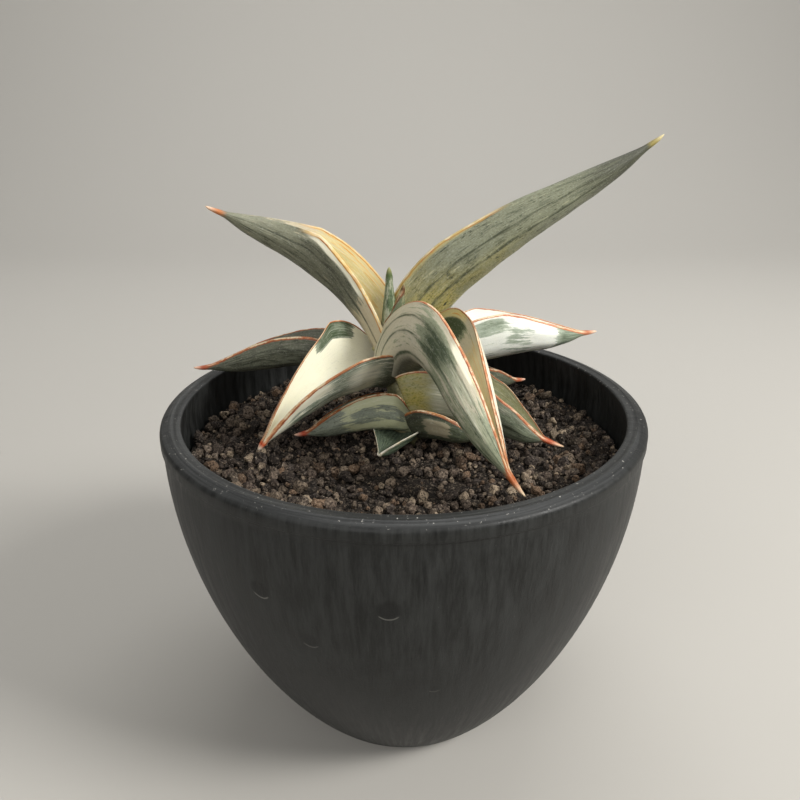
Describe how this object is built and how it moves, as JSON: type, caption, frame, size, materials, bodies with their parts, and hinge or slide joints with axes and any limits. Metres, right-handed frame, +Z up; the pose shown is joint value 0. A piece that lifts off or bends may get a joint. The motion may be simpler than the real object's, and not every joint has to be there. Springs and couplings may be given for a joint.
{
  "type": "potted snake plant",
  "caption": "Young snake plant with thick channelled, cream and green leaves, in grit in a black round plastic pot.",
  "frame": {"origin": "middle of the pot's flat underside, on the surface it stands on", "axes": "+Z up out of the pot; the longest leaf rises towards +X; -Y is the plant's front, where the arching front leaf hangs down"},
  "size_m": [0.1515, 0.15, 0.1896],
  "materials": {
    "pot_plastic": "satin charcoal, faintly streaked and scuffed, with pale mineral specks on the rim",
    "grit": "rough porous volcanic grit, dry",
    "leaf": "waxy, cream and grey-green, with an orange-brown margin line",
    "stem": "waxy pale olive"
  },
  "bodies": {
    "root": {"pot": "pot_plastic", "stem": "stem", "leaf_young_center": "leaf", "leaf_young_second": "leaf", "leaf_long_right": "leaf", "leaf_upper_left": "leaf", "leaf_front": "leaf", "leaf_front_left": "leaf", "leaf_back_left": "leaf", "leaf_back_right": "leaf", "leaf_right_low": "leaf", "leaf_left_low": "leaf", "leaf_back_low": "leaf", "leaf_front_low": "leaf", "leaf_old_scale": "leaf", "grit": "grit"}
  },
  "joints": []
}
